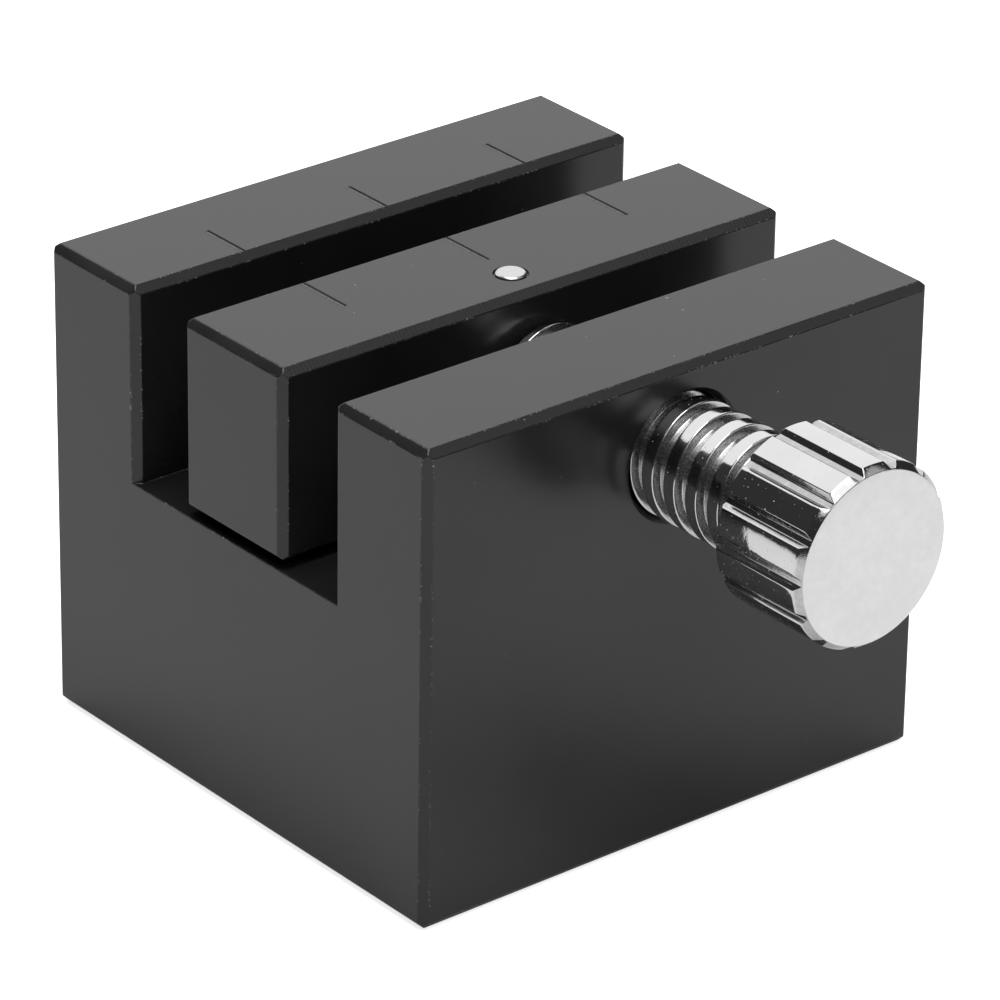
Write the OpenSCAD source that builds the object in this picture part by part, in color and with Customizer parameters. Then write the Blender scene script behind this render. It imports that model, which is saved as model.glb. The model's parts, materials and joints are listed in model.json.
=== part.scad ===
// Movement holder: a small slotted block whose sliding jaw is driven by a coarse clamp screw.
// X runs along the jaws, the screw lies along Y with its knob at -Y, and the block stands on Z = 0.

/* [Block] */
// Length of the block along the jaws
block_l = 40; // [30:0.5:60]
// Thickness of the fixed jaw at the back of the slot
fixed_jaw_t = 9; // [6:0.5:16]
// Thickness of the front wall that carries the screw
front_wall_t = 9; // [8:0.5:16]
// Width of the slot between the two walls
slot_w = 20; // [16:0.5:32]
// Depth of the slot below the top faces
slot_depth = 13.5; // [12:0.1:20]
// Height of the solid base under the slot
base_h = 19; // [6:0.5:30]
// Chamfer on the edges of the block and of the jaw
edge_chamfer = 0.5; // [0.2:0.05:0.8]

/* [Sliding jaw] */
// Thickness of the sliding jaw across the slot
jaw_t = 10; // [8:0.5:12]
// Gap between the sliding jaw and the floor of the slot
jaw_lift = 0.45; // [0.2:0.05:1]

/* [Clamp screw] */
// Outer diameter of the thread
thread_d = 8; // [7:0.1:9.6]
// Depth of the thread groove
thread_depth = 0.6; // [0.4:0.05:0.8]
// Advance of the screw in one turn
thread_pitch = 2; // [1.8:0.1:2.5]
// Width of the thread's flat crest along the screw
crest_w = 1; // [0.8:0.05:1.2]
// Distance from the top faces down to the screw's axis
axis_drop = 6.1; // [5.5:0.1:7.5]
// Length of screw seen between the front wall and the knob
screw_out = 9.7; // [6:0.1:16]
// Diameter of the plain nose that turns in the jaw
nose_d = 6; // [5:0.25:6.5]
// Length of the nose inside the jaw
nose_l = 5; // [4.5:0.1:6]

/* [Knob] */
// Diameter of the knob over its ribs
knob_d = 12; // [11:0.5:20]
// Length of the knob
knob_l = 7.5; // [6.5:0.5:14]
// Number of flutes round the knob
flute_count = 14; // [8:1:20]
// Width of a flute at the knob's surface
flute_w = 1.05; // [0.6:0.05:1.4]
// Depth of a flute
flute_depth = 0.35; // [0.2:0.05:0.5]
// Depth of the blind hole that holds the screw's end
knob_bore_l = 5; // [4:0.5:6]

/* [Retaining pin] */
// Diameter of the pin
pin_d = 2; // [1.2:0.1:2.4]
// Distance from the jaw's front face to the pin's axis
pin_back = 2.75; // [2.4:0.05:3]
// Height of the pin above the jaw's top face
pin_proud = 0.15; // [0:0.05:0.4]

/* [Marks] */
// Distance between neighbouring scribed lines
mark_gap = 11.3; // [5:0.1:14]
// Offset of the middle line from the block's centre
mark_shift = 0.25; // [-1:0.05:1]
// Length of a scribed line on the fixed jaw's top face
fixed_mark_l = 3.9; // [2:0.1:5]
// Length of a scribed line on the sliding jaw's top face
mark_l = 4.3; // [2:0.1:5]
// Width of a scribed line
mark_w = 0.22; // [0.1:0.02:0.3]
// Depth of a scribed line
mark_depth = 0.06; // [0.04:0.01:0.12]

/* [Hidden] */

// Named clearances
turn_fit = 0.05;        // radial, nose of the screw in the jaw
thread_fit = 0.1;       // radial, screw thread in the front wall
thread_flank_fit = 0.06; // along the screw, on each flank
pin_side_fit = 0.1;     // along the screw, pin in the groove of the nose
pin_end_fit = 0.1;      // under the pin
bore_end_fit = 0.3;     // beyond the end of the nose
eps = 0.01;

// Block
block_h = base_h + slot_depth;
back_y = slot_w / 2 + fixed_jaw_t;
front_y = -slot_w / 2 - front_wall_t;

// Sliding jaw, centred in the slot at rest
jaw_front = -jaw_t / 2;
jaw_base = base_h + jaw_lift;
jaw_h = block_h - jaw_base;

// Clamp screw
axis_z = block_h - axis_drop;
thread_r = thread_d / 2;
root_r = thread_r - thread_depth;
flank_run = 0.1;        // along the screw, over the depth of the groove
mouth_w = thread_pitch - crest_w;
shoulder_y = jaw_front - 0.3;
knob_y = front_y - screw_out;
nose_tip = jaw_front + nose_l;
nose_r = nose_d / 2;
shoulder_chamfer = (thread_r - nose_r) / 2;
nose_chamfer = 0.3;
pin_groove_w = pin_d + 2 * pin_side_fit;
pin_groove_r = nose_r - 1.1;
pin_y = jaw_front + pin_back;
thread_steps = 24;      // facets of the thread in one turn
thread_phase = -4.72;   // Y of the groove's middle straight above the axis, at rest

// Knob
knob_r = knob_d / 2;
front_bevel = [0.4, 0.5];   // across and along the axis
rear_bevel = 0.2;
flute_start = 12.5;         // degrees from straight up to the first flute, at rest

// Retaining pin
pin_r = pin_d / 2;
pin_top = block_h + pin_proud;
pin_foot = axis_z + pin_groove_r + pin_end_fit;
pin_chamfer = 0.12;
pin_sink = 0.15;        // counterbore round the pin, across and down

// ---------- shapes ----------

module chamfered_rect(w, h, c) {
  x = w / 2;
  y = h / 2;
  polygon([[c - x, -y], [x - c, -y], [x, c - y], [x, y - c], [x - c, y], [c - x, y], [-x, y - c], [-x, c - y]]);
}

// A bar with every edge chamfered, standing on Z = 0
module chamfered_bar(size, c) {
  intersection() {
    linear_extrude(size.z) chamfered_rect(size.x, size.y, c);
    translate([0, 0, size.z / 2]) rotate([90, 0, 0])
      linear_extrude(size.y, center = true) chamfered_rect(size.x, size.z, c);
    translate([0, 0, size.z / 2]) rotate([90, 0, 90])
      linear_extrude(size.x, center = true) chamfered_rect(size.y, size.z, c);
  }
}

// Round stock about the screw's axis, from an outline of [radius, Y] points
module turned(outline) {
  translate([0, 0, axis_z]) rotate([-90, 0, 0]) rotate_extrude($fn = 96) polygon(outline);
}

// Plain round stock or hole about the screw's axis
module rod(y0, y1, r) {
  translate([0, y0, axis_z]) rotate([-90, 0, 0]) cylinder(h = y1 - y0, r = r, $fn = 96);
}

// Conical stock or countersink about the screw's axis
module cone(y0, r0, y1, r1) {
  translate([0, y0, axis_z]) rotate([-90, 0, 0]) cylinder(h = y1 - y0, r1 = r0, r2 = r1, $fn = 96);
}

// Right-hand helical bar on the thread's own phase, between two turns counted from straight above.
// Its section runs from radius r_back (hidden) to r_tip, and fades out over the last steps.
module helix(r_back, r_tip, w_back, w_tip, turn0, turn1, fade) {
  first = round(turn0 * thread_steps);
  last = round(turn1 * thread_steps);
  n = last - first;
  points = [
    for (i = [0:n])
      let (
        a = (first + i) * 360 / thread_steps,
        y = thread_phase - thread_pitch * (first + i) / thread_steps,
        f = min(1, (i + 0.5) / fade, (n - i + 0.5) / fade),
        r = r_back + (r_tip - r_back) * f
      )
      for (q = [[r_back, -w_back / 2], [r, -w_tip / 2], [r, w_tip / 2], [r_back, w_back / 2]])
        [-q[0] * sin(a), y + q[1], axis_z + q[0] * cos(a)]
  ];
  skin = [
    for (i = [0:n - 1]) for (k = [0:3])
      let (a = 4 * i + k, b = 4 * i + (k + 1) % 4)
      each [[a, b, b + 4], [a, b + 4, a + 4]]
  ];
  caps = [[3, 2, 1, 0], [4 * n, 4 * n + 1, 4 * n + 2, 4 * n + 3]];
  polyhedron(points = points, faces = concat(skin, caps));
}

// Turns counted from straight above at which the thread's middle passes a given Y
function turns_at(y) = (thread_phase - y) / thread_pitch;

// The three V-shaped scribed lines of one jaw, between two Y values
module scribed_lines(y0, y1) {
  for (i = [-1:1])
    translate([mark_shift + i * mark_gap, y1, block_h]) rotate([90, 0, 0]) linear_extrude(y1 - y0)
      polygon([[-mark_w, mark_depth], [0, -mark_depth], [mark_w, mark_depth]]);
}

// ---------- pieces ----------

module slotted_block() {
  c = edge_chamfer;
  h = block_h;
  s = slot_w / 2;
  mid_y = (back_y + front_y) / 2;
  outline = [
    [front_y + c, 0], [back_y - c, 0], [back_y, c], [back_y, h - c], [back_y - c, h], [s + c, h], [s, h - c],
    [s, base_h], [-s, base_h], [-s, h - c], [-s - c, h], [front_y + c, h], [front_y, h - c], [front_y, c]
  ];
  difference() {
    intersection() {
      rotate([90, 0, 90]) linear_extrude(block_l, center = true) polygon(outline);
      translate([0, mid_y, 0]) chamfered_bar([block_l, back_y - front_y, h], c);
    }
    for (x = [-1, 1], y = [-1, 1])
      translate([x * block_l / 2, y * s, base_h]) rotate(45)
        translate([0, 0, slot_depth / 2 + 0.5]) cube([c * sqrt(2), c * sqrt(2), slot_depth + 1], center = true);
  }
}

module jaw_block() {
  hole_r = thread_r + thread_fit;
  sink = 0.35;
  slope = flank_run / thread_depth;
  tip_r = root_r + thread_fit;
  seat_r = hole_r + thread_depth / 2;
  tip_w = mouth_w - 2 * slope * (thread_r - tip_r) - 2 * thread_flank_fit;
  seat_w = tip_w + 2 * slope * (seat_r - tip_r);
  color([0.16, 0.16, 0.17]) union() {
    difference() {
      slotted_block();
      rod(front_y - 1, -slot_w / 2 + 1, hole_r);
      cone(front_y - eps, hole_r + sink + eps, front_y + sink, hole_r);
      cone(-slot_w / 2 - sink, hole_r, -slot_w / 2 + eps, hole_r + sink + eps);
      scribed_lines(slot_w / 2 - 1, slot_w / 2 + edge_chamfer + fixed_mark_l);
    }
    helix(seat_r, tip_r, seat_w, tip_w,
      turns_at(-slot_w / 2 - sink - seat_w), turns_at(front_y + sink + seat_w), 6);
  }
}

module sliding_jaw() {
  c = edge_chamfer;
  bore_r = nose_r + turn_fit;
  color([0.18, 0.18, 0.19]) difference() {
    translate([0, 0, jaw_base]) chamfered_bar([block_l, jaw_t, jaw_h], c);
    rod(jaw_front - 1, nose_tip + bore_end_fit, bore_r);
    cone(jaw_front - eps, bore_r + 0.3 + eps, jaw_front + 0.3, bore_r);
    translate([0, pin_y, axis_z]) cylinder(h = axis_drop + 1, r = pin_r, $fn = 64);
    translate([0, pin_y, block_h - pin_sink]) cylinder(h = 1, r = pin_r + pin_sink, $fn = 64);
    scribed_lines(jaw_t / 2 - c - mark_l, jaw_t / 2 + 1);
  }
}

module clamp_screw() {
  end_y = knob_y - knob_bore_l;
  g0 = pin_y - pin_groove_w / 2;
  g1 = pin_y + pin_groove_w / 2;
  k = shoulder_chamfer;
  cut_r = thread_r + 0.4;
  cut_w = mouth_w + 2 * flank_run * (cut_r - thread_r) / thread_depth;
  color([0.82, 0.82, 0.83]) difference() {
    turned([
      [0, end_y], [thread_r, end_y], [thread_r, shoulder_y - k], [thread_r - k, shoulder_y],
      [nose_r, shoulder_y], [nose_r, g0], [pin_groove_r, g0], [pin_groove_r, g1], [nose_r, g1],
      [nose_r, nose_tip - nose_chamfer], [nose_r - nose_chamfer, nose_tip], [0, nose_tip]
    ]);
    helix(cut_r, root_r, cut_w, mouth_w - 2 * flank_run,
      turns_at(shoulder_y + thread_pitch), turns_at(knob_y - thread_pitch / 2), 6);
  }
}

module fluted_knob() {
  r = knob_r;
  front = knob_y - knob_l;
  foot_r = r - flute_depth;
  color([0.85, 0.85, 0.86]) difference() {
    turned([
      [0, front], [r - front_bevel.x, front], [r, front + front_bevel.y],
      [r, knob_y - rear_bevel], [r - rear_bevel, knob_y], [0, knob_y]
    ]);
    rod(knob_y - knob_bore_l, knob_y + 1, thread_r);
    for (i = [0:flute_count - 1])
      translate([0, front - 1, axis_z]) rotate([-90, 0, 0]) rotate(-90 - flute_start - i * 360 / flute_count)
        linear_extrude(knob_l + 2)
          polygon([
            [foot_r, -flute_w / 5], [r, -flute_w / 2], [r + 1, -flute_w / 2],
            [r + 1, flute_w / 2], [r, flute_w / 2], [foot_r, flute_w / 5]
          ]);
  }
}

module retaining_pin() {
  color([0.9, 0.9, 0.9]) translate([0, pin_y, pin_foot]) rotate_extrude($fn = 64)
    polygon([
      [0, 0], [pin_r, 0], [pin_r, pin_top - pin_foot - pin_chamfer],
      [pin_r - pin_chamfer, pin_top - pin_foot], [0, pin_top - pin_foot]
    ]);
}

jaw_block();
sliding_jaw();
clamp_screw();
fluted_knob();
retaining_pin();
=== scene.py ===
"""A small watch movement holder: a black block and jaw, a bright clamp screw, its knob and a pin.

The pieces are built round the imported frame, in metres. X runs along the jaws, the screw lies along
Y with its knob at -Y, and the block stands on Z = 0.
"""

import json
import math

import bmesh
import bpy
import numpy as np
from bpy.props import FloatProperty, FloatVectorProperty, IntProperty, PointerProperty
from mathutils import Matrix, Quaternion, Vector


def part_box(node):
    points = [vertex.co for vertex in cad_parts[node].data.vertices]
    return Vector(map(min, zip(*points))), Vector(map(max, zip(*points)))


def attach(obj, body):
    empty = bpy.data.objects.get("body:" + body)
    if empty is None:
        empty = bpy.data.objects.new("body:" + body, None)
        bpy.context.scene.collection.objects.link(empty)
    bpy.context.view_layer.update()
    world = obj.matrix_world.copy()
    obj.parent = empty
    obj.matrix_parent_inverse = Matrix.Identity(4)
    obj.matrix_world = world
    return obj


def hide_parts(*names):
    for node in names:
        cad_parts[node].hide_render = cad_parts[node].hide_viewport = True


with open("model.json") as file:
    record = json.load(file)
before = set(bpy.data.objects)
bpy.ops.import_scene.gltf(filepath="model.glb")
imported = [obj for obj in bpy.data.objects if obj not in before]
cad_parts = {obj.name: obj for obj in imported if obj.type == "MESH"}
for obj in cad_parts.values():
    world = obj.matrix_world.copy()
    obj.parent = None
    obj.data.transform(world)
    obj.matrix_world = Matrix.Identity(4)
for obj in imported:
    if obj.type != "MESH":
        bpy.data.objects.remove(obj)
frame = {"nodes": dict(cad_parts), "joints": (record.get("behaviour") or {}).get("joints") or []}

bl_info = {
    "name": "Watch Movement Holder",
    "version": (1, 0, 0),
    "blender": (4, 5, 0),
    "location": "View3D > Sidebar > Holder",
    "description": "Builds the pieces of a small clamp for watch movements and the studio round it",
    "category": "Add Mesh",
}

MM = 0.001
TURN = 2 * math.pi
MERGE = 1e-8                # points closer than this are one point
COPY_MERGE = 1e-7           # the same, in a copy of a CAD node
SHORT = 1e-12               # stands in for a side of no length
ROUND_STEPS = 4             # points on the curve of a rounded corner
MOST_ROUND = 0.45           # the most of a side that a rounding takes
FLAT_WEIGHT = 80            # how strongly large faces set the shading
THREAD_STEP, RIM_STEP = 0.13 * MM, 0.11 * MM    # longest steps of the outlines
KNOB_STEP, PIN_STEP = 0.7 * MM, 0.3 * MM
FLAT_TURN = math.radians(0.3)     # faces that turn less than this are one flat
SHARP_TURN = math.radians(20)     # faces that turn more than this meet in an edge
LONG_EDGE = 1 * MM          # a machined edge along X is longer than this
ALONG_X = 0.9               # and at least this share of its length lies along X
END_CHAMFERS = 1.2          # the edges at an end lie within this many chamfers of it
NOISE_LOW, NOISE_HIGH = 0.3, 0.7  # most of a noise's values lie between these
ANODISED_IOR = 1.48
FLOOR_REACH = 3.0           # metres from the middle to the edge of the floor
FLOOR_GAP = 0.02 * MM       # between the block and the floor
SENSOR_MM = 36.0
NEAREST, FURTHEST = 0.01, 20.0    # metres that the camera sees
LAMP_DISTANCE = 1.5         # metres from the screw's axis to each lamp
# Name, azimuth and elevation in degrees, width and height in metres, radiance
LAMPS = (
    ("back softbox", 24, 35, 2.45, 1.73, 1.12),
    ("overhead softbox", 192, 62, 1.2, 1.2, 1.9),
    ("front softbox", 130, 42, 0.6, 0.6, 0.6),
    ("ceiling lamp", 0, 88, 0.88, 0.88, 5.3),
)
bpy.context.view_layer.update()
block_low, block_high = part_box("jaw_block")
jaw_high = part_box("sliding_jaw")[1]
screw_low, screw_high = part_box("clamp_screw")
knob_low, knob_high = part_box("fluted_knob")
pin_low, pin_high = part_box("retaining_pin")
AXIS_Z = next(joint for joint in frame["joints"] if joint["name"] == "screw_turn")["pos_m"][2]


# ---------- sizes and finishes a user would change ----------

def size(name, description, default):
    """A length in metres, shown with its unit."""
    return FloatProperty(
        name=name, description=description, default=default, unit="LENGTH", precision=5)


def share(name, description, default, top=1.0):
    """A plain number from 0 to top."""
    return FloatProperty(
        name=name, description=description, default=default, min=0.0, max=top, precision=3)


def colour(name, description, default):
    """A linear RGB colour."""
    return FloatVectorProperty(
        name=name, description=description, default=default, subtype="COLOR", min=0.0, max=1.0)


def turn(name, description, degrees):
    """An angle, given in degrees."""
    return FloatProperty(
        name=name, description=description, default=math.radians(degrees), subtype="ANGLE",
        unit="ROTATION")


def number(name, description, default, least, most):
    """A whole number."""
    return IntProperty(name=name, description=description, default=default, min=least, max=most)


class HolderBlockSettings(bpy.types.PropertyGroup):
    """The machined block and the sliding jaw."""

    edge_round: size("Edge Rounding", "Width of the rounding on every machined edge", 0.07 * MM)
    chamfer: size("Chamfer", "Width of the chamfers on the block and the jaw", 0.5 * MM)
    chatter_gap: size("Chatter Spacing", "Distance between the jaw's cutter marks", 0.3 * MM)
    fixed_line: size("Fixed Jaw Line Start", "Y where the fixed jaw's lines begin", 10.5 * MM)
    fixed_line_end: size("Fixed Jaw Line End", "Y where the fixed jaw's lines end", 14.4 * MM)
    line: size("Sliding Jaw Line Start", "Y where the sliding jaw's lines begin", 0.2 * MM)
    line_end: size("Sliding Jaw Line End", "Y where the sliding jaw's lines end", 4.5 * MM)


class HolderThreadSettings(bpy.types.PropertyGroup):
    """The clamp screw."""

    pitch: size("Pitch", "Advance of the screw in one turn", 2.0 * MM)
    depth: size("Groove Depth", "Depth of the thread groove", 0.6 * MM)
    crest: size("Crest Width", "Width of the flat crest along the screw", 1.0 * MM)
    flank: size("Flank Run", "Distance along the screw that a flank takes", 0.1 * MM)
    edge_round: size("Edge Rounding", "Rounding on the edges of the crest and the root", 0.06 * MM)
    start: size("Thread Start", "Y of the groove's middle straight above the axis", -4.72 * MM)
    shoulder: size("Shoulder", "Y of the face where the thread ends and the nose begins", -5.3 * MM)
    shoulder_chamfer: size("Shoulder Chamfer", "Chamfer at the end of the thread", 0.5 * MM)
    nose_radius: size("Nose Radius", "Radius of the plain nose inside the jaw", 3.0 * MM)
    nose_chamfer: size("Nose Chamfer", "Chamfer on the tip of the nose", 0.3 * MM)
    groove_radius: size("Pin Groove Radius", "Radius at the bottom of the pin's groove", 1.9 * MM)
    groove_gap: size("Pin Groove Clearance", "Gap beside the pin in its groove", 0.1 * MM)
    columns: number("Columns", "Faces round the screw", 120, 24, 200)


class HolderKnobSettings(bpy.types.PropertyGroup):
    """The fluted knob."""

    flutes: number("Flutes", "Number of flutes round the knob", 14, 6, 30)
    first: turn("First Flute", "Angle from straight up to the first flute", 12.5)
    width: size("Flute Width", "Width of a flute at the knob's surface", 1.05 * MM)
    floor: size("Flute Floor", "Width of the flat floor of a flute", 0.42 * MM)
    depth: size("Flute Depth", "Depth of a flute", 0.35 * MM)
    bevel_in: size("Bevel In", "How far the front bevel reaches in from the side", 0.4 * MM)
    bevel_back: size("Bevel Back", "How far the front bevel reaches back from the face", 0.5 * MM)
    rear_bevel: size("Rear Bevel", "Bevel at the rear of the knob", 0.2 * MM)
    least_bevel: size("Least Bevel", "Bevel left where a flute meets the rear", 0.04 * MM)
    edge_round: size("Edge Rounding", "Rounding on every edge of the knob", 0.05 * MM)
    bore_radius: size("Bore Radius", "Radius of the blind hole that holds the screw", 4.0 * MM)


class HolderPinSettings(bpy.types.PropertyGroup):
    """The retaining pin."""

    chamfer: size("Chamfer", "Chamfer round the top of the pin", 0.12 * MM)
    crown: size("Crown", "Height of the faint crown of the pin's top", 0.02 * MM)
    edge_round: size("Edge Rounding", "Rounding on the edges of the pin", 0.04 * MM)
    columns: number("Columns", "Faces round the pin", 96, 24, 200)


class HolderFinishSettings(bpy.types.PropertyGroup):
    """Colours and finishes."""

    black: colour("Anodised Black", "Colour of the anodised metal", (0.013, 0.013, 0.0134))
    # Also laid on the lip of the scribed lines, where it is a painted highlight.
    rubbed: colour("Rubbed Black", "Colour of handled anodised edges", (0.04, 0.04, 0.041))
    bare: colour("Bare Metal", "Colour of the nicks where bare metal shows", (0.42, 0.42, 0.42))
    black_roughness: share("Anodised Roughness", "Roughness of the anodised faces", 0.24)
    plating: colour("Plating", "Colour of the bright plating", (0.69, 0.69, 0.69))
    plating_roughness: share("Plating Roughness", "Roughness of the knob's polished plating", 0.07)
    screw_roughness: share("Screw Roughness", "Roughness of the screw's plating", 0.105)
    steel_roughness: share("Pin Roughness", "Roughness of the ground steel pin", 0.3)
    groove_roughness: share("Groove Roughness", "Roughness at the bottom of the thread", 0.24)
    flute_roughness: share("Flute Roughness", "Roughness at the bottom of the flutes", 0.12)
    face_roughness: share("Knob Face Roughness", "Roughness of the turned face of the knob", 0.42)
    face_colour: colour("Knob Face", "Colour of the turned face of the knob", (0.84, 0.84, 0.84))
    steel: colour("Pin Steel", "Colour of the ground steel pin", (0.64, 0.64, 0.64))
    grain: size("Grain Size", "Size of the grain of the anodised metal", 0.09 * MM)
    dust: colour("Dust", "Colour of the dust specks", (0.35, 0.35, 0.34))


class HolderStudioSettings(bpy.types.PropertyGroup):
    """Floor, lights and camera."""

    azimuth: turn("Azimuth", "Direction of the camera round the holder", -39.529)
    elevation: turn("Elevation", "Height of the camera above the horizon", 26.587)
    roll: turn("Roll", "Turn of the camera about its own view", 0.875)
    distance: size("Distance", "Distance from the camera to the point it looks at", 404.42 * MM)
    lens: FloatProperty(
        name="Lens", description="Focal length on a 36 mm sensor", default=228.8, unit="CAMERA")
    target: FloatVectorProperty(
        name="Target", description="Point the camera looks at",
        default=(1.183 * MM, -0.097 * MM, 15.548 * MM),
        subtype="TRANSLATION", unit="LENGTH", precision=5)
    floor_colour: colour("Floor", "Colour of the pale floor", (0.9, 0.9, 0.9))
    floor_glow: share("Floor Glow", "Extra brightness of the floor the camera sees", 0.8, top=5.0)
    room: share("Room", "Brightness of the dim room above the floor", 0.04, top=5.0)
    backdrop: share("Backdrop", "Brightness of the backdrop behind the floor", 1.0, top=5.0)


# ---------- surfaces as whole arrays ----------

def rounded(outline, radius):
    """An outline with its inner corners rounded.

    The outline has the shape (corners, ..., 2). Each inner corner P becomes the quadratic curve,
    bent towards P, from P - r a to P + r b. Here a and b are the unit directions into and out of
    the corner, and r is the radius or 0.45 of the shorter side, whichever is less. The two ends
    stay as they are.
    """
    side = outline[1:] - outline[:-1]
    length = np.linalg.norm(side, axis=-1, keepdims=True)
    unit = side / np.maximum(length, SHORT)
    reach = np.minimum(radius, MOST_ROUND * np.minimum(length[:-1], length[1:]))
    corner = outline[1:-1]
    before, after = corner - unit[:-1] * reach, corner + unit[1:] * reach
    t = np.linspace(0, 1, ROUND_STEPS).reshape((1, ROUND_STEPS) + (1,) * (outline.ndim - 1))
    curve = ((1 - t) ** 2 * before[:, None] + 2 * t * (1 - t) * corner[:, None]
             + t ** 2 * after[:, None])
    return np.concatenate([outline[:1], curve.reshape((-1,) + outline.shape[1:]), outline[-1:]])


def subdivided(outline, spacing):
    """An outline with points added along each side at P + (Q - P) k / n, at most spacing apart."""
    parts = []
    for start, end in zip(outline[:-1], outline[1:]):
        count = max(1, math.ceil(np.linalg.norm(end - start, axis=-1).max() / spacing))
        step = np.arange(count).reshape((-1,) + (1,) * (outline.ndim - 1)) / count
        parts.append(start + (end - start) * step)
    return np.concatenate(parts + [outline[-1:]])


def turned(radius, y, angle):
    """Points about the screw's axis by radius and Y: X = -r sin(angle), Z = axis + r cos(angle)."""
    radius, y, angle = np.broadcast_arrays(radius, y, angle)
    return np.stack([-radius * np.sin(angle), y, AXIS_Z + radius * np.cos(angle)], axis=-1)


def add_piece(name, points, shift=0):
    """A closed mesh object from a grid of points with the shape (rows, columns, 3).

    A face joins each point to the next row and the next column. The last column joins the first
    one, shift rows lower, which closes a helix whose rows climb by that many each turn. The first
    and last rows meet in a point.
    """
    rows, columns = points.shape[:2]
    index = np.arange(rows * columns).reshape(rows, columns)
    lower = np.maximum(np.arange(rows) - shift, 0)
    beside = np.concatenate([index[:, 1:], index[lower, :1]], axis=1)
    faces = np.stack([index[:-1], index[1:], beside[1:], beside[:-1]], axis=-1).reshape(-1, 4)
    mesh = bpy.data.meshes.new(name)
    mesh.from_pydata(points.reshape(-1, 3), [], faces)
    shell = bmesh.new()
    shell.from_mesh(mesh)
    bmesh.ops.remove_doubles(shell, verts=shell.verts, dist=MERGE)
    shell.to_mesh(mesh)
    shell.free()
    return show_mesh(name, mesh)


def show_mesh(name, mesh):
    """The object of a finished mesh, shaded smooth.

    Large faces set the shading, so that a narrow rounding doesn't tint the flat next to it.
    """
    mesh.polygons.foreach_set("use_smooth", np.ones(len(mesh.polygons), bool))
    mesh.update()
    piece = bpy.data.objects.new(name, mesh)
    bpy.context.scene.collection.objects.link(piece)
    flats = piece.modifiers.new("flats", "WEIGHTED_NORMAL")
    flats.mode = "FACE_AREA"
    flats.weight = FLAT_WEIGHT
    flats.keep_sharp = True
    return piece


def edge_facts(mesh):
    """The two ends of each edge of a closed mesh, and the cosine of the angle between its faces."""
    ends = np.empty(len(mesh.edges) * 2, int)
    mesh.edges.foreach_get("vertices", ends)
    places = np.empty(len(mesh.vertices) * 3)
    mesh.vertices.foreach_get("co", places)
    normals = np.empty(len(mesh.polygons) * 3)
    mesh.polygons.foreach_get("normal", normals)
    counts = np.empty(len(mesh.polygons), int)
    mesh.polygons.foreach_get("loop_total", counts)
    loop_edge = np.empty(len(mesh.loops), int)
    mesh.loops.foreach_get("edge_index", loop_edge)
    normals = normals.reshape(-1, 3)
    loop_face = np.repeat(np.arange(len(counts)), counts)
    order = np.argsort(loop_edge, kind="stable")
    edge_sorted, face_sorted = loop_edge[order], loop_face[order]
    first = np.searchsorted(edge_sorted, np.arange(len(mesh.edges)))
    last = np.searchsorted(edge_sorted, np.arange(len(mesh.edges)), side="right") - 1
    cosine = (normals[face_sorted[first]] * normals[face_sorted[last]]).sum(axis=1)
    return places.reshape(-1, 3)[ends.reshape(-1, 2)], cosine


def machined_copy(name, node, edge_round, chamfer):
    """A merged copy of a CAD node whose long machined edges are rounded.

    An edge is rounded if its faces meet at more than 20 degrees, and if it runs over 1 mm along X
    or lies within the chamfers at the two ends. Other edges, such as those of a hole's rim, stay
    sharp. The faces of the roundings carry the attribute edge_wear = 1, and all others 0.
    """
    mesh = frame["nodes"][node].data.copy()
    mesh.name = name
    mesh.materials.clear()
    shell = bmesh.new()
    shell.from_mesh(mesh)
    bmesh.ops.remove_doubles(shell, verts=shell.verts, dist=COPY_MERGE)
    bmesh.ops.dissolve_limit(shell, angle_limit=FLAT_TURN, verts=shell.verts, edges=shell.edges)
    shell.to_mesh(mesh)
    ends, cosine = edge_facts(mesh)
    along = np.abs(ends[:, 1] - ends[:, 0])
    length = np.linalg.norm(along, axis=1)
    sharp = cosine < math.cos(SHARP_TURN)
    from_middle = np.abs(ends[:, :, 0])
    at_ends = (from_middle > from_middle.max() - END_CHAMFERS * chamfer).all(axis=1)
    long_x = (along[:, 0] > ALONG_X * length) & (length > LONG_EDGE)
    main = sharp & (long_x | at_ends)
    worn = shell.faces.layers.float.new("edge_wear")
    shell.edges.ensure_lookup_table()
    for index in np.flatnonzero(sharp & ~main):
        shell.edges[index].smooth = False
    chosen = [shell.edges[index] for index in np.flatnonzero(main)]
    made = bmesh.ops.bevel(
        shell, geom=chosen, offset=edge_round, offset_type="OFFSET", segments=3, profile=0.5,
        affect="EDGES", clamp_overlap=True, loop_slide=True)
    for face in made["faces"]:
        face[worn] = 1.0
    shell.to_mesh(mesh)
    shell.free()
    return show_mesh(name, mesh)


# ---------- shader node groups ----------

def new_group(name, inputs, outputs):
    """A shader node group with float inputs and outputs, and a vector input named Vector first."""
    group = bpy.data.node_groups.new(name, "ShaderNodeTree")
    group.interface.new_socket("Vector", in_out="INPUT", socket_type="NodeSocketVector")
    for label, default in inputs.items():
        socket = group.interface.new_socket(label, in_out="INPUT", socket_type="NodeSocketFloat")
        socket.default_value = default
    for label in outputs:
        group.interface.new_socket(label, in_out="OUTPUT", socket_type="NodeSocketFloat")
    return (group, group.nodes.new("NodeGroupInput").outputs,
            group.nodes.new("NodeGroupOutput").inputs)


def put(tree, kind, settings=None, **sockets):
    """A node with its settings and input values. A socket's value may be another node's output."""
    node = tree.nodes.new(kind)
    for key, value in (settings or {}).items():
        setattr(node, key, value)
    for key, value in sockets.items():
        socket = node.inputs[int(key[1:]) if key[1:].isdigit() else key.replace("_", " ")]
        if isinstance(value, bpy.types.NodeSocket):
            tree.links.new(value, socket)
        else:
            socket.default_value = value
    return node


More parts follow.
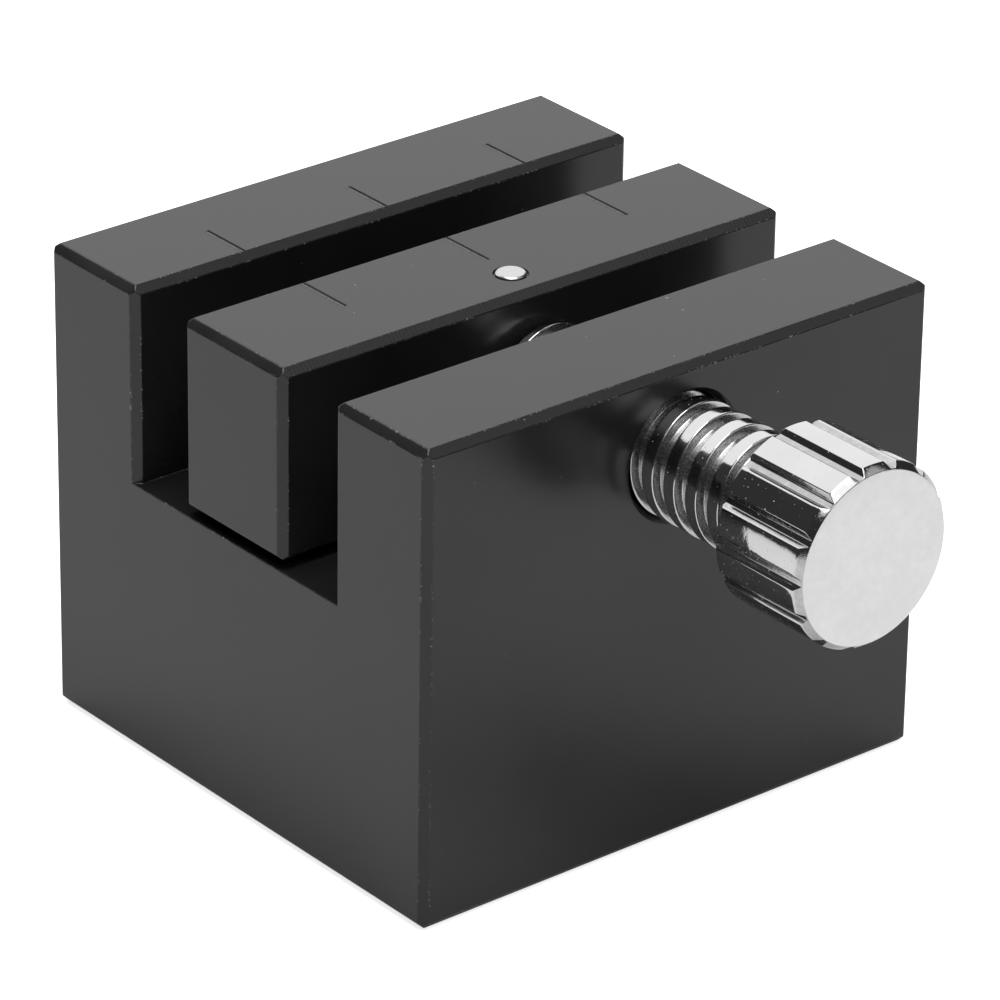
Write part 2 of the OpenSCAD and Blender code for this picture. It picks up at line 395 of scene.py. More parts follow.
def maths(tree, operation, *values):
    """One math node's result."""
    sockets = {f"i{place}": value for place, value in enumerate(values)}
    return put(tree, "ShaderNodeMath", {"operation": operation}, **sockets).outputs[0]


def product(tree, first, *others):
    """Several values multiplied together."""
    for value in others:
        first = maths(tree, "MULTIPLY", first, value)
    return first


def remap(tree, value, low, high, new_low=0.0, new_high=1.0):
    """A value carried smoothly from low..high to new_low..new_high, and held there beyond."""
    return put(tree, "ShaderNodeMapRange", {"interpolation_type": "SMOOTHSTEP"},
               i0=value, i1=low, i2=high, i3=new_low, i4=new_high).outputs[0]


def noise(tree, vector, scale, detail=2.0, roughness=0.5):
    """One noise texture's value, which stays near 0.3 to 0.7."""
    return put(tree, "ShaderNodeTexNoise", Vector=vector, Scale=scale, Detail=detail,
               Roughness=roughness).outputs[0]


def grain_group():
    """Fine grain: noise at the grain's own size and coarser noise added to it, and a wide cloud."""
    group, given, wanted = new_group(
        "fine_grain", {"Size": 0.1 * MM, "Coarse Share": 0.3}, ["Height", "Cloud"])
    per_size = maths(group, "DIVIDE", 1.0, given["Size"])
    coarse_times, cloud_times = 6.0, 70.0
    fine = noise(group, given["Vector"], per_size, roughness=0.6)
    wide = noise(group, given["Vector"], maths(group, "DIVIDE", per_size, coarse_times), detail=3.0)
    cloud = noise(group, given["Vector"], maths(group, "DIVIDE", per_size, cloud_times), detail=3.0)
    coarse = maths(group, "MULTIPLY", wide, given["Coarse Share"])
    group.links.new(maths(group, "ADD", fine, coarse), wanted["Height"])
    group.links.new(cloud, wanted["Cloud"])
    return group


def speck_group():
    """Dust and pits: in some cells of a Voronoi pattern, a ragged speck of random size."""
    group, given, wanted = new_group(
        "specks", {"Spacing": 3 * MM, "Size": 0.06 * MM, "Share": 0.2}, ["Mask"])
    per_cell = maths(group, "DIVIDE", 1.0, given["Spacing"])
    smallest, spread = 0.3, 1.3               # a speck's reach, in sizes
    narrowest, ragged_spread = 0.2, 1.6       # its ragged outline, in reaches
    teeth = 22.0                              # teeth of the ragged outline in one spacing
    inner, outer = 0.75, 1.15                 # where the edge of a speck fades
    ragged = noise(group, given["Vector"], maths(group, "MULTIPLY", per_cell, teeth))
    cells = put(group, "ShaderNodeTexVoronoi", {"feature": "F1"},
                Vector=given["Vector"], Scale=per_cell)
    pick = put(group, "ShaderNodeSeparateColor", Color=cells.outputs["Color"])
    there = maths(group, "LESS_THAN", pick.outputs[0], given["Share"])
    away = maths(group, "MULTIPLY", cells.outputs["Distance"], given["Spacing"])
    sized = maths(group, "MULTIPLY_ADD", pick.outputs[1], spread, smallest)
    reach = maths(group, "MULTIPLY", given["Size"], sized)
    outline = product(group, reach, maths(group, "MULTIPLY_ADD", ragged, ragged_spread, narrowest))
    spot = remap(group, maths(group, "DIVIDE", away, outline), inner, outer, 1.0, 0.0)
    group.links.new(maths(group, "MULTIPLY", spot, there), wanted["Mask"])
    return group


def chatter_group():
    """Cutter marks across a chamfer: uneven bands along X, kept to a band of Z below the top."""
    group, given, wanted = new_group(
        "chatter", {"Gap": 0.3 * MM, "Top": 0.03, "Reach": 0.5 * MM, "End": 0.02}, ["Bands"])
    place = put(group, "ShaderNodeSeparateXYZ", Vector=given["Vector"])
    per_drift, per_fade = 180.0, 330.0        # per metre: how fast the bands drift and fade
    drift_turns = 5.0                         # bands by which they drift
    faintest = 0.35
    near_half = 0.47                          # of the reach, a little less than half of it
    drift = noise(group, given["Vector"], per_drift, detail=1.0)
    fade = noise(group, given["Vector"], per_fade)
    turns = maths(group, "DIVIDE", place.outputs[0], given["Gap"])
    phase = maths(group, "MULTIPLY_ADD", drift, drift_turns, turns)
    wave = maths(group, "SINE", maths(group, "MULTIPLY", phase, TURN))
    strength = remap(group, fade, 0.3, 0.6, faintest, 1.0)
    below = maths(group, "SUBTRACT", given["Top"], place.outputs[2])
    inside = maths(group, "COMPARE", below, maths(group, "MULTIPLY", given["Reach"], 0.5),
                   maths(group, "MULTIPLY", given["Reach"], near_half))
    clear = maths(group, "LESS_THAN", maths(group, "ABSOLUTE", place.outputs[0]),
                  maths(group, "SUBTRACT", given["End"], given["Reach"]))
    banded = maths(group, "MULTIPLY_ADD", product(group, wave, strength), 0.5, 0.5)
    group.links.new(product(group, banded, inside, clear), wanted["Bands"])
    return group


def wear_group():
    """Edge wear: small bare nicks where noise passes a threshold, on rounded edges only."""
    group, given, wanted = new_group(
        "edge_wear", {"Size": 0.2 * MM, "Amount": 0.3}, ["Nicks", "Rubbed"])
    edge = put(group, "ShaderNodeAttribute", {"attribute_name": "edge_wear"}).outputs["Fac"]
    per_nick = maths(group, "DIVIDE", 1.0, given["Size"])
    patch_times = 18.0                        # a worn patch, in nicks
    threshold, fade = 0.8, 0.05
    nick = noise(group, given["Vector"], per_nick, roughness=0.7)
    patch = noise(group, given["Vector"], maths(group, "DIVIDE", per_nick, patch_times))
    level = maths(group, "SUBTRACT", threshold, maths(group, "MULTIPLY", given["Amount"], patch))
    bare = remap(group, maths(group, "SUBTRACT", nick, level), 0.0, fade)
    group.links.new(maths(group, "MULTIPLY", bare, edge), wanted["Nicks"])
    rubbed = remap(group, patch, 0.35, 0.65, 0.2, 1.0)
    group.links.new(maths(group, "MULTIPLY", rubbed, edge), wanted["Rubbed"])
    return group


def scribe_group():
    """Scribed lines along Y: a cut with painted shade, and a thin raised lip on its -X side with a
    painted highlight, broken up by noise.
    """
    group, given, wanted = new_group(
        "scribe_lines",
        {"Gap": 11.3 * MM, "Shift": 0.25 * MM, "Width": 0.22 * MM, "Y Low": 0.0, "Y High": 0.0,
         "Top": 32.5 * MM},
        ["Burr", "Shaded Cut"])
    place = put(group, "ShaderNodeSeparateXYZ", Vector=given["Vector"])
    flush = 0.03 * MM                         # the lip lies this near the top face
    per_break = 2400.0                        # per metre: how often the lip is broken
    from_line = maths(group, "SUBTRACT", place.outputs[0], given["Shift"])
    nearest = product(
        group, maths(group, "ROUND", maths(group, "DIVIDE", from_line, given["Gap"])), given["Gap"])
    offset = maths(group, "SUBTRACT", from_line, nearest)
    from_lip = maths(group, "ABSOLUTE", maths(group, "ADD", offset, given["Width"]))
    near = remap(group, from_lip, 0.04 * MM, 0.13 * MM, 1.0, 0.0)
    middle = maths(group, "MULTIPLY", maths(group, "ADD", given["Y Low"], given["Y High"]), 0.5)
    half = maths(group, "MULTIPLY", maths(group, "SUBTRACT", given["Y High"], given["Y Low"]), 0.5)
    beside = maths(group, "COMPARE", place.outputs[1], middle, half)
    on_top = maths(group, "COMPARE", place.outputs[2], given["Top"], flush)
    torn = remap(group, noise(group, given["Vector"], per_break), 0.35, 0.62, 0.15, 1.0)
    # The lip: a raised bump, and the mask where it is painted lighter as a painted highlight.
    group.links.new(product(group, near, beside, on_top, torn), wanted["Burr"])
    # The cut: rougher, and darkened in colour as painted shade where the groove lies.
    across = remap(group, maths(group, "ABSOLUTE", offset), 0.09 * MM, 0.13 * MM, 1.0, 0.0)
    below = maths(group, "SUBTRACT", given["Top"], place.outputs[2])
    sunk = remap(group, below, 0.002 * MM, 0.01 * MM)
    group.links.new(product(group, across, sunk, beside), wanted["Shaded Cut"])
    return group


def streak_group():
    """Drawn-out streaks: noise stretched along Y, for surfaces cut or turned along the axis."""
    group, given, wanted = new_group("streaks", {"Size": 0.06 * MM, "Stretch": 25.0}, ["Height"])
    place = put(group, "ShaderNodeSeparateXYZ", Vector=given["Vector"])
    slow = maths(group, "DIVIDE", place.outputs[1], given["Stretch"])
    join = put(group, "ShaderNodeCombineXYZ", X=place.outputs[0], Y=slow, Z=place.outputs[2])
    streaks = noise(group, join.outputs[0], maths(group, "DIVIDE", 1.0, given["Size"]))
    group.links.new(streaks, wanted["Height"])
    return group


def radius_from_axis(tree, vector):
    """Distance from the screw's axis."""
    place = put(tree, "ShaderNodeSeparateXYZ", Vector=vector)
    up = maths(tree, "SUBTRACT", place.outputs[2], AXIS_Z)
    square = maths(tree, "MULTIPLY_ADD", up, up, product(tree, place.outputs[0], place.outputs[0]))
    return maths(tree, "SQRT", square), place.outputs[1]


def place_group(tree, group, vector, **values):
    """A group placed in a material, with its own values."""
    node = tree.nodes.new("ShaderNodeGroup")
    node.node_tree = group
    tree.links.new(vector, node.inputs["Vector"])
    for key, value in values.items():
        node.inputs[key.replace("_", " ")].default_value = value
    return node.outputs


def new_material(name):
    """An empty material, with its Principled shader and the object's own coordinates."""
    material = bpy.data.materials.new(name)
    material.use_nodes = True
    tree = material.node_tree
    shader = tree.nodes["Principled BSDF"]
    vector = tree.nodes.new("ShaderNodeTexCoord").outputs["Object"]
    return material, tree, shader, vector


def mix_colour(tree, mask, first, second):
    """One colour where the mask is 0, the other where it is 1."""
    node = tree.nodes.new("ShaderNodeMix")
    node.data_type = "RGBA"
    tree.links.new(mask, node.inputs[0])
    for socket, value in ((node.inputs[6], first), (node.inputs[7], second)):
        if isinstance(value, bpy.types.NodeSocket):
            tree.links.new(value, socket)
        else:
            socket.default_value = (*value, 1.0)
    return node.outputs[2]


def add_bumps(tree, shader, *layers):
    """Bumps on top of each other. Each layer is a height and its depth in metres."""
    normal = None
    for height, depth in layers:
        bump = tree.nodes.new("ShaderNodeBump")
        bump.inputs["Distance"].default_value = depth
        tree.links.new(height, bump.inputs["Height"])
        if normal is not None:
            tree.links.new(normal, bump.inputs["Normal"])
        normal = bump.outputs[0]
    tree.links.new(normal, shader.inputs["Normal"])


def scaled(colour_value, factor):
    """A colour made darker or lighter."""
    return tuple(factor * part for part in colour_value)


def laid_over(tree, base, mask, share_shown, top):
    """A colour laid over another one where a mask is, by a share."""
    return mix_colour(tree, maths(tree, "MULTIPLY", mask, share_shown), base, tuple(top))


def anodised_material(name, groups, finish, seed, lines, chatter=None):
    """Black anodised metal: grain, cloudy sheen, dust, nicked edges, burred lines, painted shade and
    highlight.

    The seed moves the pattern. The scribed lines run from the Y lines[0] to the Y lines[1], with
    painted shade in their cut. The cutter marks have the gap chatter[0], the top chatter[1] and the
    reach chatter[2].
    """
    material, tree, shader, vector = new_material(name)
    cloud_lighter, cloud_duller = 1.3, 0.02
    rubbed_shown, burr_highlight_shown, marks_shown, nicks_shown, specks_shown = 0.3, 0.9, 0.4, 0.6, 0.75
    cut_painted_shade, cut_duller, speck_duller = 0.3, 0.55, 0.4
    shift = (seed * 7 * MM, seed * 3 * MM, seed * 5 * MM)
    moved = put(tree, "ShaderNodeMapping", Vector=vector, Location=shift).outputs[0]
    grain = place_group(tree, groups["grain"], moved, Size=finish.grain, Coarse_Share=0.35)
    dust = place_group(tree, groups["specks"], moved, Spacing=2.4 * MM, Size=0.085 * MM, Share=0.2)
    lint = place_group(tree, groups["specks"], moved, Spacing=0.9 * MM, Size=0.045 * MM, Share=0.07)
    wear = place_group(tree, groups["wear"], moved, Size=0.15 * MM, Amount=0.34)
    scribed = place_group(
        tree, groups["scribe"], vector, Y_Low=lines[0], Y_High=lines[1], Top=block_high.z)
    specks = maths(tree, "MAXIMUM", dust["Mask"], lint["Mask"])
    cloud = remap(tree, grain["Cloud"], NOISE_LOW, NOISE_HIGH)
    base = mix_colour(tree, cloud, tuple(finish.black), scaled(finish.black, cloud_lighter))
    base = laid_over(tree, base, wear["Rubbed"], rubbed_shown, finish.rubbed)
    # Painted highlight: the lip of the scribed lines lightened with the rubbed colour, beside its
    # real bump.
    base = laid_over(tree, base, scribed["Burr"], burr_highlight_shown, finish.rubbed)
    # Painted shade: the colour is darkened in the cut of the scribed lines.
    base = mix_colour(tree, scribed["Shaded Cut"], base, scaled(finish.black, cut_painted_shade))
    layers = [(grain["Height"], 0.0012 * MM), (specks, 0.02 * MM), (scribed["Burr"], 0.02 * MM)]
    if chatter:
        gap, top, reach = chatter
        marks = place_group(
            tree, groups["chatter"], vector, Gap=gap, Top=top, Reach=reach, End=jaw_high.x)
        base = laid_over(tree, base, marks["Bands"], marks_shown, finish.rubbed)
        layers.append((marks["Bands"], 0.006 * MM))
    base = laid_over(tree, base, wear["Nicks"], nicks_shown, finish.bare)
    base = laid_over(tree, base, specks, specks_shown, finish.dust)
    tree.links.new(base, shader.inputs["Base Color"])
    clear, hazy = finish.black_roughness - cloud_duller, finish.black_roughness + cloud_duller
    rough = remap(tree, grain["Cloud"], NOISE_LOW, NOISE_HIGH, clear, hazy)
    rough = maths(tree, "MULTIPLY_ADD", specks, speck_duller, rough)
    rough = maths(tree, "MULTIPLY_ADD", scribed["Shaded Cut"], cut_duller, rough)
    tree.links.new(rough, shader.inputs["Roughness"])
    shader.inputs["IOR"].default_value = ANODISED_IOR
    add_bumps(tree, shader, *layers)
    return material


def plated_material(name, groups, metal, roughness, rough_shaded_floor=None, face=None):
    """Bright plating: mirror-like, with faint waves, streaks, tiny pits and dust.

    Below the radius rough_shaded_floor[0], at the bottom of the thread and the flutes, the metal was
    left rougher before it was plated, to the roughness rough_shaded_floor[1], and its colour is
    darkened there as painted shade. In front of the Y face[0] lies a turned face with the roughness
    face[1] and the colour face[2].
    """
    material, tree, shader, vector = new_material(name)
    clean, hazy = 0.75, 1.35                  # roughness of the clouds, in shares of the whole
    cloud_darker, pits_shown, floor_painted_shade = 0.95, 0.4, 0.6
    pit_grey, mottle_grey, dust_grey = (scaled((1, 1, 1), grey) for grey in (0.4, 0.45, 0.8))
    dust_duller = 0.6
    grain = place_group(tree, groups["grain"], vector, Size=0.05 * MM, Coarse_Share=0.5)
    waves = place_group(tree, groups["grain"], vector, Size=0.5 * MM, Coarse_Share=1.0)
    streaks = place_group(tree, groups["streaks"], vector, Size=0.07 * MM, Stretch=30.0)
    pits = place_group(
        tree, groups["specks"], vector, Spacing=0.32 * MM, Size=0.022 * MM, Share=0.55)
    dust = place_group(tree, groups["specks"], vector, Spacing=0.3 * MM, Size=0.028 * MM, Share=0.5)
    radius, y = radius_from_axis(tree, vector)
    cloud = remap(tree, grain["Cloud"], NOISE_LOW, NOISE_HIGH)
    rough = remap(tree, cloud, 0.0, 1.0, roughness * clean, roughness * hazy)
    base = mix_colour(tree, cloud, scaled(metal, cloud_darker), tuple(metal))
    base = laid_over(tree, base, pits["Mask"], pits_shown, pit_grey)
    layers = [(waves["Height"], 0.004 * MM), (pits["Mask"], 0.004 * MM)]
    if rough_shaded_floor:
        edge, left = rough_shaded_floor
        below = remap(tree, radius, edge - 0.12 * MM, edge - 0.02 * MM, 1.0, 0.0)
        uneven = remap(tree, streaks["Height"], NOISE_LOW, NOISE_HIGH, left * 0.7, left * 1.3)
        rough = maths(tree, "MAXIMUM", rough, maths(tree, "MULTIPLY", below, uneven))
        # Painted shade: the floors of the thread and the flutes are darkened in colour, as the shade
        # at the bottom of these grooves.
        floor_shade = maths(tree, "MULTIPLY", below, remap(tree, waves["Height"], 0.6, 1.2, 0.15, 0.75))
        base = mix_colour(tree, floor_shade, base, scaled(metal, floor_painted_shade))
        layers.append((maths(tree, "MULTIPLY", below, streaks["Height"]), 0.004 * MM))
    if face:
        front, turned_rough, turned_colour = face
        on_face = remap(tree, y, front + 0.004 * MM, front + 0.02 * MM, 1.0, 0.0)
        rough = maths(tree, "MAXIMUM", rough, maths(tree, "MULTIPLY", on_face, turned_rough))
        base = mix_colour(tree, on_face, base, turned_colour)
        mottled = remap(tree, waves["Height"], 0.6, 1.3, 0.0, 0.14)
        mottled = maths(tree, "MULTIPLY", on_face, mottled)
        base = mix_colour(tree, mottled, base, mottle_grey)
        layers.append((maths(tree, "MULTIPLY", grain["Height"], on_face), 0.003 * MM))
    marked = maths(tree, "MAXIMUM", pits["Mask"], dust["Mask"])
    rough = maths(tree, "MAXIMUM", rough, maths(tree, "MULTIPLY", marked, dust_duller))
    tree.links.new(mix_colour(tree, dust["Mask"], base, dust_grey), shader.inputs["Base Color"])
    tree.links.new(rough, shader.inputs["Roughness"])
    tree.links.new(maths(tree, "SUBTRACT", 1.0, dust["Mask"]), shader.inputs["Metallic"])
    add_bumps(tree, shader, *layers)
    return material


def effect_groups():
    """The shared node groups, built once."""
    made = {"grain": ("fine_grain", grain_group), "specks": ("specks", speck_group),
            "chatter": ("chatter", chatter_group), "wear": ("edge_wear", wear_group),
            "scribe": ("scribe_lines", scribe_group), "streaks": ("streaks", streak_group)}
    return {key: bpy.data.node_groups.get(name) or build() for key, (name, build) in made.items()}


def finish_piece(piece, material, body, node):
    """Gives a piece its material and its CAD body, and hides the CAD node it stands for."""
    piece.data.materials.append(material)
    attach(piece, body)
    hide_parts(node)


# ---------- operators ----------

class HOLDER_OT_block(bpy.types.Operator):
    """Build the slotted block"""

    bl_idname = "holder.block"
    bl_label = "Slotted Block"

    def execute(self, context):
        sizes, finish = context.scene.holder_block, context.scene.holder_finish
        piece = machined_copy("slotted_block", "jaw_block", sizes.edge_round, sizes.chamfer)
        lines = (sizes.fixed_line, sizes.fixed_line_end)
        material = anodised_material("black_anodised_block", effect_groups(), finish, 1, lines)
        finish_piece(piece, material, "body", "jaw_block")
        return {"FINISHED"}


class HOLDER_OT_jaw(bpy.types.Operator):
    """Build the sliding jaw"""

    bl_idname = "holder.jaw"
    bl_label = "Sliding Jaw"

    def execute(self, context):
        sizes, finish = context.scene.holder_block, context.scene.holder_finish
        piece = machined_copy("moving_jaw", "sliding_jaw", sizes.edge_round, sizes.chamfer)
        chatter = (sizes.chatter_gap, jaw_high.z, sizes.chamfer)
        lines = (sizes.line, sizes.line_end)
        material = anodised_material(
            "black_anodised_jaw", effect_groups(), finish, 2, lines, chatter)
        finish_piece(piece, material, "jaw", "sliding_jaw")
        return {"FINISHED"}


class HOLDER_OT_screw(bpy.types.Operator):
    """Build the clamp screw as one helical lattice"""

    bl_idname = "holder.screw"
    bl_label = "Clamp Screw"

    def outline(self, sizes):
        """Radius and Y of the screw before its thread, from its end in the knob to its tip."""
        radius = (screw_high.z - screw_low.z) / 2
        pin_y = (pin_low.y + pin_high.y) / 2
        half_groove = (pin_high.y - pin_low.y) / 2 + sizes.groove_gap
        nose, chamfer = sizes.nose_radius, sizes.nose_chamfer
        shoulder, tip = sizes.shoulder, screw_high.y
        return np.array([
            [0, screw_low.y], [radius, screw_low.y], [radius, shoulder - sizes.shoulder_chamfer],
            [radius - sizes.shoulder_chamfer, shoulder], [nose, shoulder],
            [nose, pin_y - half_groove], [sizes.groove_radius, pin_y - half_groove],
            [sizes.groove_radius, pin_y + half_groove], [nose, pin_y + half_groove],
            [nose, tip - chamfer], [nose - chamfer, tip], [0, tip],
        ])

    def thread(self, sizes):
        """Distance along the screw and radius over one pitch, from mid-crest to mid-crest."""
        radius = (screw_high.z - screw_low.z) / 2
        half, mouth = sizes.pitch / 2, (sizes.pitch - sizes.crest) / 2
        root = radius - sizes.depth
        profile = np.array([
            [-half, radius], [-mouth, radius], [sizes.flank - mouth, root],
            [mouth - sizes.flank, root], [mouth, radius], [half, radius],
        ])
        return subdivided(rounded(profile, sizes.edge_round), THREAD_STEP)

    def execute(self, context):
        """Rows follow the thread: row i at angle a lies at S(i) - pitch a / 2 pi along the outline.

        The radius is the lesser of the outline's and the thread's, and each corner of the outline
        takes the nearest row in every column, so that flat faces stay flat.
        """
        sizes, finish = context.scene.holder_thread, context.scene.holder_finish
        outline, profile = self.outline(sizes), self.thread(sizes)
        run = np.concatenate([[0], np.cumsum(np.linalg.norm(np.diff(outline, axis=0), axis=1))])
        straight = run[1] - outline[1, 1]
        per_turn = len(profile) - 1
        low = math.floor((0 - straight - sizes.start) / sizes.pitch) - 1
        high = math.ceil((run[-1] - straight - sizes.start) / sizes.pitch) + 2
        starts = np.arange(low, high) * sizes.pitch + sizes.start + straight
        rows = (starts[:, None] + profile[None, :-1, 0]).reshape(-1)
        angle = np.arange(sizes.columns) / sizes.columns * TURN
        along = rows[:, None] - sizes.pitch * angle / TURN
        for corner in run[1:-1]:
            nearest = np.abs(along - corner).argmin(axis=0)
            along[nearest, np.arange(sizes.columns)] = corner
        along = np.clip(along, 0, run[-1])
        radius = np.interp(along, run, outline[:, 0])
        y = np.interp(along, run, outline[:, 1])
        phase = (y - sizes.start) / sizes.pitch + angle / TURN
        position = (phase - np.round(phase)) * sizes.pitch
        cut = np.interp(position, profile[:, 0], profile[:, 1])
        points = turned(np.minimum(radius, cut), y, angle)
        piece = add_piece("threaded_screw", points, shift=per_turn)
        material = plated_material(
            "bright_screw", effect_groups(), finish.plating, finish.screw_roughness,
            rough_shaded_floor=(screw_high.z - AXIS_Z, finish.groove_roughness))
        finish_piece(piece, material, "screw", "clamp_screw")
        return {"FINISHED"}


class HOLDER_OT_knob(bpy.types.Operator):
    """Build the fluted knob"""

    bl_idname = "holder.knob"
    bl_label = "Fluted Knob"

    def rim(self, sizes, radius):
        """Angle and radius of the fluted rim, all the way round.

        One rib and flute is an outline in distance round the rim and radius: half a rib, a wall,
        the floor, a wall and half a rib. It is rounded, repeated once for each flute, and its
        distance is divided by the radius.
        """
        half = math.pi * radius / sizes.flutes
        mouth, floor, foot = sizes.width / 2, sizes.floor / 2, radius - sizes.depth
        period = np.array([
            [-half, radius], [-mouth, radius], [-floor, foot],
            [floor, foot], [mouth, radius], [half, radius]])
        period = subdivided(rounded(period, sizes.edge_round), RIM_STEP)[:-1]
        step = np.arange(sizes.flutes) * TURN / sizes.flutes
        angle = sizes.first + step[:, None] + period[None, :, 0] / radius
        return angle.reshape(-1), np.tile(period[:, 1], sizes.flutes)

    def execute(self, context):
        """Each column is its own outline, from the middle of the face to the bottom of the bore.

        The front bevel is a cone, so it meets the rim at a Y that grows with the rim's radius
        there, which gives the flutes their pointed ends.
        """
        sizes, finish = context.scene.holder_knob, context.scene.holder_finish
        radius = (knob_high.z - knob_low.z) / 2
        angle, rim = self.rim(sizes, radius)
        front, rear = knob_low.y, knob_high.y
        face = radius - sizes.bevel_in
        knee = front + sizes.bevel_back * (rim - face) / sizes.bevel_in
        bevel = np.maximum(rim - (radius - sizes.rear_bevel), sizes.least_bevel)
        bore, bottom = sizes.bore_radius, screw_low.y
        corners = (
            (0.0, front), (face, front), (rim, knee), (rim, rear - bevel),
            (rim - bevel, rear), (bore, rear), (bore, bottom), (0.0, bottom))
        outline = np.stack([
            np.stack(np.broadcast_arrays(*corner, rim)[:2], axis=-1) for corner in corners])
        outline = subdivided(rounded(outline, sizes.edge_round), KNOB_STEP)
        piece = add_piece("grip_knob", turned(outline[..., 0], outline[..., 1], angle))
        material = plated_material(
            "bright_knob", effect_groups(), finish.plating, finish.plating_roughness,
            rough_shaded_floor=(radius, finish.flute_roughness),
            face=(front, finish.face_roughness, tuple(finish.face_colour)))
        finish_piece(piece, material, "screw", "fluted_knob")
        return {"FINISHED"}


class HOLDER_OT_pin(bpy.types.Operator):
    """Build the retaining pin"""

    bl_idname = "holder.pin"
    bl_label = "Retaining Pin"

    def execute(self, context):
        """An outline turned about its axis: X = r cos(angle), Y = -r sin(angle), Z as it goes."""
        sizes, finish = context.scene.holder_pin, context.scene.holder_finish
        radius = (pin_high.x - pin_low.x) / 2
        top, foot, chamfer = pin_high.z, pin_low.z, sizes.chamfer
        outline = np.array([
            [0, foot], [radius, foot], [radius, top - chamfer],
            [radius - chamfer, top - sizes.crown], [0, top]])
        outline = subdivided(rounded(outline, sizes.edge_round), PIN_STEP)
        angle = np.arange(sizes.columns) / sizes.columns * TURN
        middle = (pin_low + pin_high) / 2
        points = np.stack([
            middle.x + outline[:, None, 0] * np.cos(angle),
            middle.y - outline[:, None, 0] * np.sin(angle),
            np.broadcast_to(outline[:, None, 1], (len(outline), len(angle))),
        ], axis=-1)
        piece = add_piece("steel_pin", points)
        material = plated_material(
            "bright_pin", effect_groups(), finish.steel, finish.steel_roughness)
        finish_piece(piece, material, "jaw", "retaining_pin")
        return {"FINISHED"}


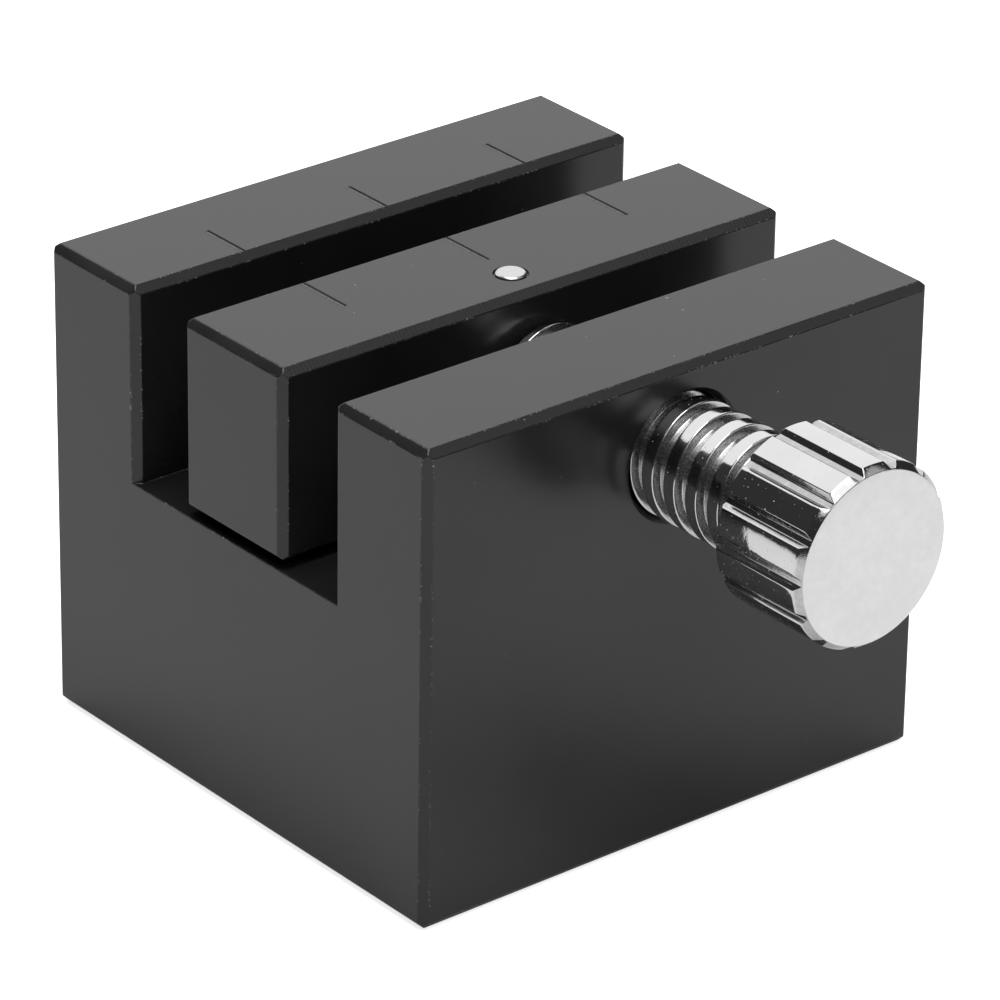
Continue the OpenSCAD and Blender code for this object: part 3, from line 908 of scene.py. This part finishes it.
class HOLDER_OT_studio(bpy.types.Operator):
    """Build the floor, the lights and the camera"""

    bl_idname = "holder.studio"
    bl_label = "Studio"

    def add_floor(self, sizes):
        """A wide flat floor that looks brighter than it lights, like a lit table."""
        mesh = bpy.data.meshes.new("floor")
        signs = ((-1, -1), (1, -1), (1, 1), (-1, 1))
        corners = [(x * FLOOR_REACH, y * FLOOR_REACH, 0) for x, y in signs]
        mesh.from_pydata(corners, [], [(0, 1, 2, 3)])
        floor = bpy.data.objects.new("floor", mesh)
        floor.location.z = block_low.z - FLOOR_GAP
        bpy.context.scene.collection.objects.link(floor)
        material = bpy.data.materials.new("pale_floor")
        material.use_nodes = True
        tree = material.node_tree
        shader = tree.nodes["Principled BSDF"]
        shader.inputs["Base Color"].default_value = (*sizes.floor_colour, 1.0)
        shader.inputs["Roughness"].default_value = 0.9
        shader.inputs["Specular IOR Level"].default_value = 0.0
        shader.inputs["Emission Color"].default_value = (1.0, 1.0, 1.0, 1.0)
        seen = tree.nodes.new("ShaderNodeLightPath").outputs["Is Camera Ray"]
        glow = maths(tree, "MULTIPLY", seen, sizes.floor_glow)
        tree.links.new(glow, shader.inputs["Emission Strength"])
        mesh.materials.append(material)

    def add_world(self, sizes):
        """A dim room for reflections, and a pale backdrop where the camera sees past the floor."""
        world = bpy.data.worlds.new("studio")
        bpy.context.scene.world = world
        world.use_nodes = True
        tree = world.node_tree
        tree.nodes.clear()
        white = (1.0, 1.0, 1.0, 1.0)
        room = put(tree, "ShaderNodeBackground", Color=white, Strength=sizes.room)
        backdrop = put(tree, "ShaderNodeBackground", Color=white, Strength=sizes.backdrop)
        path = tree.nodes.new("ShaderNodeLightPath")
        mixed = put(tree, "ShaderNodeMixShader", i0=path.outputs["Is Camera Ray"],
                    i1=room.outputs[0], i2=backdrop.outputs[0])
        out = tree.nodes.new("ShaderNodeOutputWorld")
        tree.links.new(mixed.outputs[0], out.inputs["Surface"])

    def add_softbox(self, name, azimuth, elevation, width, height, radiance):
        """A rectangular light that faces the holder. Azimuth 0 is over +Y, and it grows towards +X.

        Its power is the radiance times pi times the area.
        """
        a, e = math.radians(azimuth), math.radians(elevation)
        way = Vector((math.sin(a) * math.cos(e), math.cos(a) * math.cos(e), math.sin(e)))
        data = bpy.data.lights.new(name, "AREA")
        data.shape = "RECTANGLE"
        data.size, data.size_y = width, height
        data.energy = radiance * math.pi * width * height
        light = bpy.data.objects.new(name, data)
        light.location = Vector((0, 0, AXIS_Z)) + way * LAMP_DISTANCE
        light.rotation_mode = "QUATERNION"
        light.rotation_quaternion = way.to_track_quat("Z", "Y")
        light.visible_camera = False
        bpy.context.scene.collection.objects.link(light)

    def add_camera(self, sizes):
        """A long lens that looks down at the holder from its front left. Azimuth 0 is over -Y."""
        a, e = sizes.azimuth, sizes.elevation
        back = Vector((math.sin(a) * math.cos(e), -math.cos(a) * math.cos(e), math.sin(e)))
        data = bpy.data.cameras.new("camera")
        data.lens = sizes.lens
        data.sensor_width = SENSOR_MM
        data.clip_start, data.clip_end = NEAREST, FURTHEST
        camera = bpy.data.objects.new("camera", data)
        camera.location = Vector(sizes.target) + back * sizes.distance
        camera.rotation_mode = "QUATERNION"
        roll = Quaternion((0, 0, 1), sizes.roll)
        camera.rotation_quaternion = (-back).to_track_quat("-Z", "Y") @ roll
        bpy.context.scene.collection.objects.link(camera)
        bpy.context.scene.camera = camera

    def execute(self, context):
        sizes = context.scene.holder_studio
        self.add_floor(sizes)
        self.add_world(sizes)
        for lamp in LAMPS:
            self.add_softbox(*lamp)
        self.add_camera(sizes)
        context.scene.view_settings.view_transform = "Standard"
        return {"FINISHED"}


class HOLDER_PT_panel(bpy.types.Panel):
    """The holder's operators and their sizes"""

    bl_idname = "HOLDER_PT_panel"
    bl_label = "Watch Movement Holder"
    bl_space_type = "VIEW_3D"
    bl_region_type = "UI"
    bl_category = "Holder"

    def draw(self, context):
        for operator, settings in PANEL_ROWS:
            box = self.layout.box()
            box.operator(operator.bl_idname)
            group = getattr(context.scene, settings)
            for name in group.bl_rna.properties.keys()[2:]:
                box.prop(group, name)


PANEL_ROWS = (
    (HOLDER_OT_block, "holder_block"),
    (HOLDER_OT_jaw, "holder_finish"),
    (HOLDER_OT_screw, "holder_thread"),
    (HOLDER_OT_knob, "holder_knob"),
    (HOLDER_OT_pin, "holder_pin"),
    (HOLDER_OT_studio, "holder_studio"),
)
SETTINGS = {
    "holder_block": HolderBlockSettings,
    "holder_thread": HolderThreadSettings,
    "holder_knob": HolderKnobSettings,
    "holder_pin": HolderPinSettings,
    "holder_finish": HolderFinishSettings,
    "holder_studio": HolderStudioSettings,
}
CLASSES = (
    *SETTINGS.values(),
    HOLDER_OT_block, HOLDER_OT_jaw, HOLDER_OT_screw, HOLDER_OT_knob, HOLDER_OT_pin,
    HOLDER_OT_studio, HOLDER_PT_panel,
)


def register():
    for cls in CLASSES:
        bpy.utils.register_class(cls)
    for name, group in SETTINGS.items():
        setattr(bpy.types.Scene, name, PointerProperty(type=group))


def unregister():
    for name in SETTINGS:
        delattr(bpy.types.Scene, name)
    for cls in reversed(CLASSES):
        bpy.utils.unregister_class(cls)


def main():
    register()
    bpy.ops.holder.studio()
    bpy.ops.holder.block()
    bpy.ops.holder.jaw()
    bpy.ops.holder.screw()
    bpy.ops.holder.knob()
    bpy.ops.holder.pin()
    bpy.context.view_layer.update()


if __name__ == "__main__":
    main()
